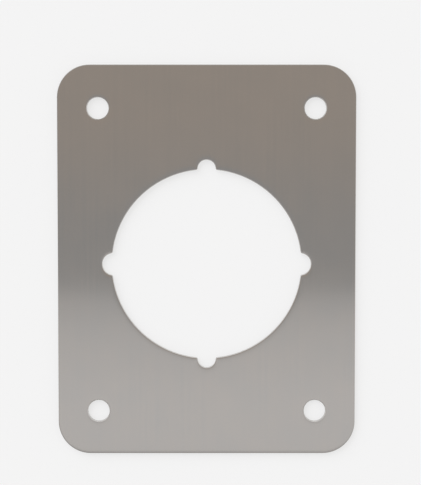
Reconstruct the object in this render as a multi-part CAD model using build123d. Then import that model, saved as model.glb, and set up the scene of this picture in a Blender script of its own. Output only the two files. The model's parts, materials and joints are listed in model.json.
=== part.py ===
"""Remodeler plate: a stamped stainless sheet that covers an old lock cut-out on a door.

Frame: the origin is the middle of the plate's back face. +Z points out of the front face,
+Y runs up the plate and +X runs across it. All lengths are in millimetres.
"""
from build123d import *
import os

# The sheet and its outline
PLATE_WIDTH = 87.3125        # 3-7/16 in across the door
PLATE_HEIGHT = 114.3         # 4-1/2 in up the door
SHEET_THICKNESS = 1.5875     # 1/16 in stainless sheet
CORNER_RADIUS = 9.525        # 3/8 in

# The lock bore and the half-round notches on its rim
LOCK_BORE_DIAMETER = 55.5625  # 2-3/16 in, 1/16 in over a 2-1/8 in lock body
BORE_BELOW_MIDDLE = 1.190625  # 3/64 in, from the plate's middle down to the bore's centre
SIDE_NOTCH_DIAMETER = 6.5     # left and right, clear of a 1/4 in bolt
END_NOTCH_DIAMETER = 5.3      # top and bottom, clear of a No. 10 bolt
NOTCH_DEPTH = 2.8             # from the bore's rim to the bottom of each notch
CUSP_RADIUS = 0.5             # where a notch runs out into the bore

# The screw holes, each set in from the plate's edges
SCREW_HOLE_DIAMETER = 6.35          # 1/4 in
SCREW_INSET_FROM_SIDE = 11.90625    # 15/32 in, edge to hole centre
SCREW_INSET_FROM_END = 12.7         # 1/2 in, edge to hole centre

# The edges that the punch leaves
FRONT_EDGE_ROLL = 0.25    # outline and bore, rolled over where the punch enters
BACK_EDGE_BREAK = 0.1     # outline and bore, burr taken off the back
HOLE_EDGE_BREAK = 0.2     # screw holes, broken on both faces

ON_RIM_TOLERANCE = 1e-4


def notch_pair(diameter: float, first_angle: float) -> list[Sketch]:
    """Two notches of one size, facing each other across the bore."""
    centre_radius = LOCK_BORE_DIAMETER / 2 + NOTCH_DEPTH - diameter / 2
    return PolarLocations(centre_radius, 2, first_angle) * Circle(diameter / 2)


def lock_opening() -> Sketch:
    """The round bore with a half-round notch at each side, at its top and at its bottom."""
    bore_radius = LOCK_BORE_DIAMETER / 2
    notches = notch_pair(SIDE_NOTCH_DIAMETER, 0) + notch_pair(END_NOTCH_DIAMETER, 90)
    opening = Sketch() + Circle(bore_radius) + notches
    cusps = opening.vertices().filter_by(
        lambda vertex: abs(Vector(vertex.X, vertex.Y).length - bore_radius) < ON_RIM_TOLERANCE
    )
    return Pos(0, -BORE_BELOW_MIDDLE) * fillet(cusps, CUSP_RADIUS)


def screw_holes() -> Sketch:
    """Four plain round holes, one in each corner of the plate."""
    spacing_x = PLATE_WIDTH - 2 * SCREW_INSET_FROM_SIDE
    spacing_y = PLATE_HEIGHT - 2 * SCREW_INSET_FROM_END
    return Sketch() + GridLocations(spacing_x, spacing_y, 2, 2) * Circle(SCREW_HOLE_DIAMETER / 2)


def is_hole_rim(edge: Edge) -> bool:
    """True for a whole circle, as only the screw holes have."""
    return edge.is_closed


def remodeler_plate() -> Part:
    """The punched sheet, with its front edges rolled and the burr off its back and its holes."""
    blank = RectangleRounded(PLATE_WIDTH, PLATE_HEIGHT, CORNER_RADIUS)
    sheet = extrude(blank - lock_opening() - screw_holes(), SHEET_THICKNESS)
    sheet = chamfer(sheet.edges().filter_by(is_hole_rim), HOLE_EDGE_BREAK)
    front_face = sheet.faces().sort_by(Axis.Z).last
    sheet = fillet(front_face.edges().filter_by(is_hole_rim, reverse=True), FRONT_EDGE_ROLL)
    back_face = sheet.faces().sort_by(Axis.Z).first
    return chamfer(back_face.edges().filter_by(is_hole_rim, reverse=True), BACK_EDGE_BREAK)


os.makedirs("parts", exist_ok=True)
export_step(remodeler_plate(), "parts/remodeler_plate.step")
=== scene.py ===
"""Satin stainless remodeler plate, lying face up on a pale studio floor and seen from above.

Lengths are in metres, apart from the plate's edges and finish, which are worked out in millimetres.
"""
import json
import logging
import math
from dataclasses import dataclass
from enum import Enum
from functools import reduce
from typing import Any, Mapping, Sequence, Union

import bpy
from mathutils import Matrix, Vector


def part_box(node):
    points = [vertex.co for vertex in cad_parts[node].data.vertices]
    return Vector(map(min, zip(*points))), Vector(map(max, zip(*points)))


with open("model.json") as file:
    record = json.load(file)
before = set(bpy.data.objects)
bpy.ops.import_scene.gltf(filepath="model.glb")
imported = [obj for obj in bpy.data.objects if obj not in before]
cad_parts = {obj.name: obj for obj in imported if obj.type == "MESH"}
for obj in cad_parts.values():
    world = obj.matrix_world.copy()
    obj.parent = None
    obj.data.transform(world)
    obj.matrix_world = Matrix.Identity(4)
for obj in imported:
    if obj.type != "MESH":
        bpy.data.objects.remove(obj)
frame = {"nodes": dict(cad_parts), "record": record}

# The scene is brought up to date after the import
bpy.context.view_layer.update()

LOG = logging.getLogger("remodeler_plate")
PLATE_NODE = "remodeler_plate"
MM = 0.001
PER_MM = 1 / MM

Triple = tuple[float, float, float]
Term = Union["Shade", float, Triple]
Settings = Mapping[str, Any]
Sockets = Mapping[str | int, Any]

# The pale grey of the floor, of the tent's foot and of the room's walls
PALE: Triple = (0.905, 0.905, 0.905)


class NodeKind(Enum):
    """The shader nodes that the finishes are made of."""

    COORDINATES = "ShaderNodeTexCoord"
    NOISE = "ShaderNodeTexNoise"
    MATHS = "ShaderNodeMath"
    VECTOR_MATHS = "ShaderNodeVectorMath"
    MAP_RANGE = "ShaderNodeMapRange"
    MIX = "ShaderNodeMix"
    SPLIT = "ShaderNodeSeparateXYZ"
    BUMP = "ShaderNodeBump"
    SURFACE = "ShaderNodeBsdfPrincipled"
    MATT = "ShaderNodeBsdfDiffuse"
    GLOW = "ShaderNodeEmission"
    MIX_SHADER = "ShaderNodeMixShader"
    LIGHT_PATH = "ShaderNodeLightPath"
    BACKGROUND = "ShaderNodeBackground"
    MATERIAL_OUTPUT = "ShaderNodeOutputMaterial"
    WORLD_OUTPUT = "ShaderNodeOutputWorld"


class Operation(Enum):
    """What a maths node works out."""

    ADD = "ADD"
    SUBTRACT = "SUBTRACT"
    MULTIPLY = "MULTIPLY"
    ABSOLUTE = "ABSOLUTE"
    LESSER = "MINIMUM"
    GREATER = "MAXIMUM"
    SQUARE_ROOT = "SQRT"
    EXPONENT = "EXPONENT"


class Axis(Enum):
    """The axes of a place or a direction."""

    X = "X"
    Y = "Y"
    Z = "Z"


class LightReach(Enum):
    """Where a light source shows: on matt surfaces, or in the shine of metal."""

    MATT = "matt surfaces"
    REFLECTIONS = "reflections"

    def apply(self, source: bpy.types.Object) -> None:
        """Sets what sees a light source, which the camera itself never does.

        Args:
            source: A lamp, or a mesh that glows.
        """
        source.visible_camera = False
        source.visible_diffuse = self is LightReach.MATT
        source.visible_glossy = self is LightReach.REFLECTIONS


class Shade:
    """One shader socket. Python operators join it to others by adding maths nodes."""

    def __init__(self, board: "ShaderBoard", socket: bpy.types.NodeSocket) -> None:
        """Keeps the socket and the board that it is wired on."""
        self.board = board
        self.socket = socket

    @property
    def is_vector(self) -> bool:
        """True for a socket that carries three numbers."""
        return self.socket.type == "VECTOR"

    def __add__(self, other: Term) -> "Shade":
        """This plus the other."""
        return self.board.maths(Operation.ADD, self, other)

    def __radd__(self, other: Term) -> "Shade":
        """The other plus this."""
        return self.board.maths(Operation.ADD, other, self)

    def __sub__(self, other: Term) -> "Shade":
        """This minus the other."""
        return self.board.maths(Operation.SUBTRACT, self, other)

    def __rsub__(self, other: Term) -> "Shade":
        """The other minus this."""
        return self.board.maths(Operation.SUBTRACT, other, self)

    def __mul__(self, other: Term) -> "Shade":
        """This times the other."""
        return self.board.maths(Operation.MULTIPLY, self, other)

    def __rmul__(self, other: Term) -> "Shade":
        """The other times this."""
        return self.board.maths(Operation.MULTIPLY, other, self)

    def __abs__(self) -> "Shade":
        """This without its sign."""
        return self.board.maths(Operation.ABSOLUTE, self)


class ShaderBoard:
    """A node tree that is cleared and then wired from Python expressions."""

    # Places of the colour sockets on a Mix node, whose other sockets have the same names
    MIX_FACTOR = 0
    MIX_FIRST = 6
    MIX_SECOND = 7
    MIX_RESULT = 2

    def __init__(self, tree: bpy.types.NodeTree) -> None:
        """Takes over a tree and removes the nodes that it came with."""
        self.tree = tree
        self.tree.nodes.clear()

    def node(
        self, kind: NodeKind, settings: Settings | None = None, sockets: Sockets | None = None
    ) -> bpy.types.Node:
        """Adds one node.

        Args:
            kind: The node's type.
            settings: The node's own properties, which are set first.
            sockets: Input name or place to the Shade that is linked there, or to a value. A colour's
                value is its red, green and blue.

        Returns:
            The new node.
        """
        made = self.tree.nodes.new(kind.value)
        for name, value in (settings or {}).items():
            setattr(made, name, value)
        for key, value in (sockets or {}).items():
            socket = made.inputs[key]
            if isinstance(value, Shade):
                self.tree.links.new(value.socket, socket)
            elif socket.type == "RGBA":
                socket.default_value = (*value, 1.0)
            else:
                socket.default_value = value
        return made

    def shade(
        self,
        kind: NodeKind,
        output: str | int,
        settings: Settings | None = None,
        sockets: Sockets | None = None,
    ) -> Shade:
        """Adds one node and wraps one of its outputs.

        Args:
            kind: The node's type.
            output: The output's name or place.
            settings: As for node.
            sockets: As for node.

        Returns:
            The wrapped output.
        """
        return Shade(self, self.node(kind, settings, sockets).outputs[output])

    def maths(self, operation: Operation, *terms: Term) -> Shade:
        """Adds the maths node that suits the terms.

        Args:
            operation: What it works out.
            terms: Shades, numbers or triples, in the operation's order.

        Returns:
            The result, a vector if any term is one.
        """
        vector = any(isinstance(term, tuple) or getattr(term, "is_vector", False) for term in terms)
        kind = NodeKind.VECTOR_MATHS if vector else NodeKind.MATHS
        output = "Vector" if vector else "Value"
        return self.shade(kind, output, {"operation": operation.value}, dict(enumerate(terms)))

    def lesser(self, *terms: Term) -> Shade:
        """The smallest of the terms."""
        return reduce(lambda least, term: self.maths(Operation.LESSER, least, term), terms)

    def greater(self, *terms: Term) -> Shade:
        """The largest of the terms."""
        return reduce(lambda most, term: self.maths(Operation.GREATER, most, term), terms)

    def reach(self, across: Shade, along: Shade) -> Shade:
        """The straight distance that two offsets at right angles make."""
        return self.maths(Operation.SQUARE_ROOT, across * across + along * along)

    def part(self, vector: Shade, axis: Axis) -> Shade:
        """A vector's part along one axis."""
        return self.shade(NodeKind.SPLIT, axis.value, None, {"Vector": vector})

    def fade(self, value: Shade, start: float, end: float) -> Shade:
        """Rises smoothly from 0 where value is start to 1 where it is end."""
        sockets = {"Value": value, "From Min": start, "From Max": end}
        return self.shade(NodeKind.MAP_RANGE, "Result", {"interpolation_type": "SMOOTHSTEP"}, sockets)

    def mix(self, share: Shade, first: Term, second: Term) -> Shade:
        """Blends two colours, from the first where share is 0 to the second where it is 1."""
        sockets = {self.MIX_FACTOR: share, self.MIX_FIRST: first, self.MIX_SECOND: second}
        return self.shade(NodeKind.MIX, self.MIX_RESULT, {"data_type": "RGBA"}, sockets)


def new_finish(name: str) -> tuple[bpy.types.Material, ShaderBoard]:
    """Starts a material.

    Args:
        name: The material's name.

    Returns:
        The material and the board to wire it on.
    """
    made = bpy.data.materials.new(name)
    made.use_nodes = True
    return made, ShaderBoard(made.node_tree)


def add_object(name: str, data: bpy.types.ID) -> bpy.types.Object:
    """Adds an object to the scene.

    Args:
        name: The object's name.
        data: Its mesh, lamp or camera.

    Returns:
        The object.
    """
    added = bpy.data.objects.new(name, data)
    bpy.context.scene.collection.objects.link(added)
    return added


def add_staged(
    name: str, points: Sequence[Triple], faces: Sequence[Sequence[int]], finish: bpy.types.Material
) -> bpy.types.Object:
    """Adds a mesh for the studio around the plate, such as the floor or the tent.

    Args:
        name: The mesh's name.
        points: Its corners.
        faces: The corners of each face, by their places among the points.
        finish: Its material.

    Returns:
        The object.
    """
    mesh = bpy.data.meshes.new(name)
    mesh.from_pydata(points, [], faces)
    mesh.materials.append(finish)
    added = add_object(name, mesh)
    return added


@dataclass(frozen=True)
class CutEdges:
    """The plate's cut edges, in millimetres from the middle of the plate.

    The frame gives the first seven. The outline's corners and the notches on the bore's rim are set here.
    """

    half_width: float
    half_height: float
    bore_radius: float
    bore_below_middle: float
    screw_across: float
    screw_up: float
    screw_radius: float
    corner_radius: float = 9.525
    notch_depth: float = 2.8
    side_notch_radius: float = 3.25
    end_notch_radius: float = 2.65

    @classmethod
    def from_frame(cls, node: str) -> "CutEdges":
        """Takes the outline from the plate's box, and the bore and the screw holes from its mounts.

        Args:
            node: The plate's node.

        Returns:
            The edges.
        """
        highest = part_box(node)[1]
        mounts = {mount["name"]: mount for mount in frame["record"]["mounts"]}
        bore = mounts["lock_bore"]
        screws = mounts["screw_holes"]["dims"]
        return cls(
            half_width=highest.x * PER_MM,
            half_height=highest.y * PER_MM,
            bore_radius=bore["dims"]["r_mm"],
            bore_below_middle=-bore["pos_m"][1] * PER_MM,
            screw_across=screws["spacing_x_mm"] / 2,
            screw_up=screws["spacing_y_mm"] / 2,
            screw_radius=screws["hole_r_mm"],
        )

    def distance(self, board: ShaderBoard, place: Shade) -> Shade:
        """Measures how far the sheet is from its nearest cut edge.

        Args:
            board: The board to wire on.
            place: The position in millimetres.

        Returns:
            The distance in millimetres, which stops at the corner radius.
        """
        height = board.part(place, Axis.Y)
        across = abs(board.part(place, Axis.X))
        up = abs(height)
        past_side = board.greater(across - (self.half_width - self.corner_radius), 0.0)
        past_end = board.greater(up - (self.half_height - self.corner_radius), 0.0)
        outline = self.corner_radius - board.reach(past_side, past_end)
        screw = board.reach(across - self.screw_across, up - self.screw_up) - self.screw_radius

        bore_up = abs(height + self.bore_below_middle)
        bore = board.reach(across, bore_up) - self.bore_radius
        notch_bottom = self.bore_radius + self.notch_depth
        side_out = across - (notch_bottom - self.side_notch_radius)
        side_notch = board.reach(side_out, bore_up) - self.side_notch_radius
        end_out = bore_up - (notch_bottom - self.end_notch_radius)
        end_notch = board.reach(across, end_out) - self.end_notch_radius
        return board.lesser(outline, screw, bore, side_notch, end_notch)


@dataclass(frozen=True)
class Grain:
    """One layer of noise, and how far it moves a finish.

    per_unit says how many grains lie along one unit of each axis, detail how many finer layers lie on them,
    and layering how strong those are. The noise times tone, roughness or height is added to the finish's.
    """

    per_unit: Triple
    detail: float
    layering: float
    tone: float = 0.0
    roughness: float = 0.0
    height: float = 0.0

    def read(self, board: ShaderBoard, place: Shade) -> Shade:
        """Reads the noise.

        Args:
            board: The board to wire on.
            place: Where it is read.

        Returns:
            Values on both sides of zero, from about -0.5 to 0.5.
        """
        middle = 0.5
        sockets = {
            "Vector": place * self.per_unit,
            "Scale": 1.0,
            "Detail": self.detail,
            "Roughness": self.layering,
        }
        return board.shade(NodeKind.NOISE, "Fac", None, sockets) - middle


@dataclass(frozen=True)
class Look:
    """How one part of a surface looks: its colour, its roughness and its relief in millimetres."""

    colour: Shade
    roughness: Shade
    relief: Shade

    def towards(self, other: "Look", share: Shade) -> "Look":
        """Blends this look into another.

        Args:
            other: The other look.
            share: 0 where this look holds, and 1 where the other does.

        Returns:
            The blend.
        """
        return Look(
            share.board.mix(share, self.colour, other.colour),
            self.roughness + (other.roughness - self.roughness) * share,
            self.relief + (other.relief - self.relief) * share,
        )


@dataclass(frozen=True)
class SatinStainless:
    """Satin stainless sheet: fine grain up the plate, and edges that a punch rolled and sheared.

    Grain is counted to the millimetre, and heights, depths and widths are in millimetres. A wall is told
    from a face by how upright its normal is. Going down a wall, the tear starts and is full at these shares
    of the sheet's thickness.
    """

    cool_steel: Triple = (0.42, 0.405, 0.392)
    warm_steel: Triple = (0.46, 0.428, 0.403)
    sheared_steel: Triple = (0.66, 0.64, 0.62)
    torn_steel: Triple = (0.42, 0.405, 0.39)
    middle_tone: float = 0.5
    face_roughness: float = 0.12
    sheared_roughness: float = 0.22
    torn_roughness: float = 0.42
    hairline: Grain = Grain(
        per_unit=(9.0, 0.05, 0.5), detail=4.0, layering=0.65, tone=0.5, roughness=0.05, height=0.0012
    )
    streak: Grain = Grain(
        per_unit=(1.1, 0.014, 0.1), detail=3.0, layering=0.6, tone=0.8, roughness=0.04, height=0.012
    )
    mottle: Grain = Grain(per_unit=(0.09, 0.09, 0.09), detail=3.0, layering=0.5, tone=1.0, roughness=0.03)
    punch_mark: Grain = Grain(per_unit=(7.0, 7.0, 0.6), detail=3.0, layering=0.6, height=0.007)
    roll_depth: float = 0.045
    roll_width: float = 0.55
    face_upright: float = 0.97
    wall_upright: float = 0.75
    tear_start: float = 0.62
    tear_full: float = 0.45
    tear_ripple: float = 0.25

    def material(self, edges: CutEdges, thickness: float) -> bpy.types.Material:
        """Makes the finish.

        Args:
            edges: Where the sheet was cut.
            thickness: The sheet's thickness in millimetres.

        Returns:
            The material.
        """
        made, board = new_finish("satin_stainless_finish")
        place = board.shade(NodeKind.COORDINATES, "Object") * (PER_MM, PER_MM, PER_MM)
        face = self.face(board, place, edges)
        wall = self.wall(board, place, thickness)
        look = face.towards(wall, self.wall_mask(board))
        relief = {"Height": look.relief, "Strength": 1.0, "Distance": MM}
        sockets = {
            "Base Color": look.colour,
            "Metallic": 1.0,
            "Roughness": look.roughness,
            "Normal": board.shade(NodeKind.BUMP, "Normal", None, relief),
        }
        steel = board.shade(NodeKind.SURFACE, "BSDF", None, sockets)
        board.node(NodeKind.MATERIAL_OUTPUT, None, {"Surface": steel})
        return made

    def face(self, board: ShaderBoard, place: Shade, edges: CutEdges) -> Look:
        """Wires the two faces of the sheet, which dip towards each cut edge.

        Args:
            board: The board to wire on.
            place: The position in millimetres.
            edges: Where the sheet was cut.

        Returns:
            How the faces look.
        """
        dip = board.maths(Operation.EXPONENT, edges.distance(board, place) * (-1 / self.roll_width))
        relief = -self.roll_depth * dip
        tone: Term = self.middle_tone
        roughness: Term = self.face_roughness
        for grain in (self.hairline, self.streak, self.mottle):
            noise = grain.read(board, place)
            tone += grain.tone * noise
            roughness += grain.roughness * noise
            relief += grain.height * noise
        return Look(board.mix(tone, self.cool_steel, self.warm_steel), roughness, relief)

    def wall(self, board: ShaderBoard, place: Shade, thickness: float) -> Look:
        """Wires the punched walls, which are sheared clean above and torn below.

        Args:
            board: The board to wire on.
            place: The position in millimetres.
            thickness: The sheet's thickness in millimetres.

        Returns:
            How the walls look.
        """
        mark = self.punch_mark.read(board, place)
        uneven_height = board.part(place, Axis.Z) + self.tear_ripple * mark
        torn = board.fade(uneven_height, self.tear_start * thickness, self.tear_full * thickness)
        return Look(
            board.mix(torn, self.sheared_steel, self.torn_steel),
            self.sheared_roughness + (self.torn_roughness - self.sheared_roughness) * torn,
            self.punch_mark.height * mark,
        )

    def wall_mask(self, board: ShaderBoard) -> Shade:
        """1 on the punched walls and their rolled edges, and 0 on the two faces of the sheet."""
        upright = board.part(board.shade(NodeKind.COORDINATES, "Normal"), Axis.Z)
        return board.fade(abs(upright), self.face_upright, self.wall_upright)


@dataclass(frozen=True)
class PaleFloor:
    """Pale studio floor that shows soft, faint shadows, as one lit from below does."""

    colour: Triple = PALE
    glow_share: float = 0.75

    def material(self) -> bpy.types.Material:
        """Makes the finish.

        Returns:
            The material.
        """
        made, board = new_finish("pale_floor_finish")
        matt = board.shade(NodeKind.MATT, "BSDF", None, {"Color": self.colour})
        glow = board.shade(NodeKind.GLOW, "Emission", None, {"Color": self.colour, "Strength": 1.0})
        rays = ("Is Camera Ray", "Is Glossy Ray", "Is Transmission Ray")
        seen = board.greater(*(board.shade(NodeKind.LIGHT_PATH, ray) for ray in rays))
        # The two shaders go in by place, because their sockets have the same name
        sockets = {"Fac": self.glow_share * seen, 1: matt, 2: glow}
        surface = board.shade(NodeKind.MIX_SHADER, "Shader", None, sockets)
        board.node(NodeKind.MATERIAL_OUTPUT, None, {"Surface": surface})
        return made


@dataclass
class Plate:
    """The stamped plate, whose solid is shown as it is and gets its finish here."""

    node: str
    edges: CutEdges
    finish: SatinStainless

    @property
    def thickness(self) -> float:
        """The sheet's thickness in metres."""
        low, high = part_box(self.node)
        return high.z - low.z

    def dress(self) -> bpy.types.Object:
        """Puts the finish on the plate's solid.

        Returns:
            The solid's object.
        """
        plate = frame["nodes"][self.node]
        plate.data.materials.clear()
        plate.data.materials.append(self.finish.material(self.edges, self.thickness * PER_MM))
        return plate


@dataclass(frozen=True)
class OverheadPanel:
    """A lit panel that lies flat over the plate and shows only in the metal's shine.

    It reaches from its edge, a place along Y, towards -Y.
    """

    name: str
    edge: float
    height: float
    width: float
    depth: float
    radiance: float

    def build(self) -> bpy.types.Object:
        """Makes the panel, whose power follows from its area.

        Returns:
            The lamp.
        """
        lamp = bpy.data.lights.new(self.name, "AREA")
        lamp.shape = "RECTANGLE"
        lamp.size = self.width
        lamp.size_y = self.depth
        lamp.energy = self.radiance * math.pi * self.width * self.depth
        panel = add_object(self.name, lamp)
        panel.location = (0.0, self.edge - self.depth / 2, self.height)
        LightReach.REFLECTIONS.apply(panel)
        return panel


@dataclass(frozen=True)
class TentCloth:
    """Lit cloth that is pale at the floor, uneven above it and even at its top, and brighter towards +Y."""

    pale: Triple = PALE
    dim: Triple = (0.24, 0.24, 0.245)
    lit: Triple = (0.55, 0.55, 0.55)
    back_dim: Triple = (0.50, 0.50, 0.50)
    back_lit: Triple = (1.10, 1.10, 1.10)
    top: Triple = (0.55, 0.54, 0.52)
    folds: Grain = Grain(per_unit=(5.0, 5.0, 1.5), detail=1.0, layering=0.5)
    fold_edge: float = 0.16
    back_from: float = 0.10
    pale_from: float = 0.02
    pale_to: float = 0.20
    top_from: float = 0.25

    def material(self, radius: float, height: float) -> bpy.types.Material:
        """Makes the finish.

        Args:
            radius: How far the cloth is from the plate's middle.
            height: How high it reaches.

        Returns:
            The material.
        """
        made, board = new_finish("tent_cloth_finish")
        place = board.shade(NodeKind.COORDINATES, "Object")
        up = board.part(place, Axis.Z)
        folds = board.fade(self.folds.read(board, place), -self.fold_edge, self.fold_edge)
        behind = board.fade(board.part(place, Axis.Y), self.back_from, radius)
        front_cloth = board.mix(folds, self.dim, self.lit)
        back_cloth = board.mix(folds, self.back_dim, self.back_lit)
        middle = board.mix(behind, front_cloth, back_cloth)
        lower = board.mix(board.fade(up, self.pale_from, self.pale_to), self.pale, middle)
        colour = board.mix(board.fade(up, self.top_from, height), lower, self.top)
        glow = board.shade(NodeKind.GLOW, "Emission", None, {"Color": colour, "Strength": 1.0})
        board.node(NodeKind.MATERIAL_OUTPUT, None, {"Surface": glow})
        return made


@dataclass(frozen=True)
class LightTent:
    """A round tent about the plate that shows only in the metal's shine."""

    radius: float = 0.34
    height: float = 0.60
    facets: int = 96
    cloth: TentCloth = TentCloth()

    def build(self) -> bpy.types.Object:
        """Makes the tent.

        Returns:
            The tent's object.
        """
        turns = [2 * math.pi * step / self.facets for step in range(self.facets)]
        ring = [(self.radius * math.cos(turn), self.radius * math.sin(turn)) for turn in turns]
        points = [(x, y, z) for z in (0.0, self.height) for x, y in ring]
        walls = [
            (step, self.facets + step, self.facets + (step + 1) % self.facets, (step + 1) % self.facets)
            for step in range(self.facets)
        ]
        tent = add_staged("light_tent", points, walls, self.cloth.material(self.radius, self.height))
        LightReach.REFLECTIONS.apply(tent)
        tent.visible_shadow = False
        return tent


@dataclass(frozen=True)
class Studio:
    """The pale floor, the room around it and the lamps.

    A direction's part along Z says where the room's walls give way to its ceiling, and the part along Y
    where the ceiling turns warm. The edges of the panels over the plate's lower half make the soft step in
    its shine. Angles are in degrees.
    """

    floor_side: float = 8.0
    floor_gap: float = 0.02 * MM
    floor: PaleFloor = PaleFloor()
    room_wall: Triple = PALE
    room_ceiling: Triple = (0.51, 0.517, 0.52)
    warm_ceiling: Triple = (0.59, 0.537, 0.487)
    ceiling_from: float = 0.25
    ceiling_to: float = 0.85
    warm_from: float = -0.065
    warm_to: float = -0.010
    fill_colour: Triple = (0.922, 0.947, 1.0)
    fill_strength: float = 1.85
    fill_spread: float = 60.0
    fill_turns: Triple = (-35.0, -40.0, 0.0)
    tent: LightTent = LightTent()
    panels: tuple[OverheadPanel, ...] = (
        OverheadPanel("low_panel", edge=-0.0346, height=0.26, width=1.0, depth=0.084, radiance=0.25),
        OverheadPanel("middle_panel", edge=-0.0752, height=0.50, width=1.2, depth=0.6, radiance=0.115),
        OverheadPanel("high_panel", edge=-0.1592, height=0.90, width=1.6, depth=0.8, radiance=0.09),
    )

    def build(self) -> list[bpy.types.Object]:
        """Makes the floor, the room and the lamps.

        Returns:
            The new objects.
        """
        self.light_room()
        return [
            self.lay_floor(),
            self.hang_fill(),
            self.tent.build(),
            *(panel.build() for panel in self.panels),
        ]

    def lay_floor(self) -> bpy.types.Object:
        """Makes the floor, just under the plate.

        Returns:
            The floor's object.
        """
        half = self.floor_side / 2
        corners = [(-half, -half), (half, -half), (half, half), (-half, half)]
        points = [(x, y, -self.floor_gap) for x, y in corners]
        return add_staged("floor", points, [range(len(points))], self.floor.material())

    def hang_fill(self) -> bpy.types.Object:
        """Makes the broad lamp that adds to the room's light on matt surfaces.

        Returns:
            The lamp.
        """
        lamp = bpy.data.lights.new("fill", "SUN")
        lamp.color = self.fill_colour
        lamp.energy = self.fill_strength
        lamp.angle = math.radians(self.fill_spread)
        fill = add_object("fill", lamp)
        fill.rotation_euler = [math.radians(turn) for turn in self.fill_turns]
        LightReach.MATT.apply(fill)
        return fill

    def light_room(self) -> None:
        """Lights the room from its pale walls and less from its ceiling, which is warm towards +Y."""
        world = bpy.data.worlds.new("studio_room")
        bpy.context.scene.world = world
        world.use_nodes = True
        board = ShaderBoard(world.node_tree)
        direction = board.shade(NodeKind.COORDINATES, "Generated")
        warmth = board.fade(board.part(direction, Axis.Y), self.warm_from, self.warm_to)
        ceiling_colour = board.mix(warmth, self.room_ceiling, self.warm_ceiling)
        ceiling = board.fade(board.part(direction, Axis.Z), self.ceiling_from, self.ceiling_to)
        colour = board.mix(ceiling, self.room_wall, ceiling_colour)
        light = board.shade(NodeKind.BACKGROUND, "Background", None, {"Color": colour, "Strength": 1.0})
        board.node(NodeKind.WORLD_OUTPUT, None, {"Surface": light})


@dataclass(frozen=True)
class PhotoCamera:
    """The camera, which looks down on the plate with the picture's top towards +Y.

    The lens is a focal length in millimetres. The tilt is in degrees from straight down, and puts the
    camera on the +Y side of the point that it aims at.
    """

    lens: float = 139.4
    distance: float = 550 * MM
    tilt: float = 4.0
    aim_x: float = 1.127 * MM
    aim_y: float = 5.219 * MM
    nearest: float = 0.01

    def build(self, target_height: float) -> bpy.types.Object:
        """Makes the camera and makes it the scene's own.

        Args:
            target_height: The height of the plate's front face.

        Returns:
            The camera.
        """
        lens = bpy.data.cameras.new("photo_camera")
        lens.lens = self.lens
        lens.clip_start = self.nearest
        camera = add_object("photo_camera", lens)
        tilt = math.radians(self.tilt)
        back = Vector((0.0, math.sin(tilt), math.cos(tilt)))
        camera.location = Vector((self.aim_x, self.aim_y, target_height)) + self.distance * back
        camera.rotation_euler = (-tilt, 0.0, 0.0)
        bpy.context.scene.camera = camera
        return camera


def main() -> None:
    """Dresses the plate, then builds the studio and the camera around it."""
    logging.basicConfig(level=logging.INFO, format="%(name)s: %(message)s")
    bpy.context.scene.view_settings.view_transform = "Standard"
    plate = Plate(PLATE_NODE, CutEdges.from_frame(PLATE_NODE), SatinStainless())
    LOG.info("dressed %s", plate.dress().name)
    for made in Studio().build():
        LOG.info("built %s", made.name)
    LOG.info("built %s", PhotoCamera().build(plate.thickness).name)


if __name__ == "__main__":
    main()
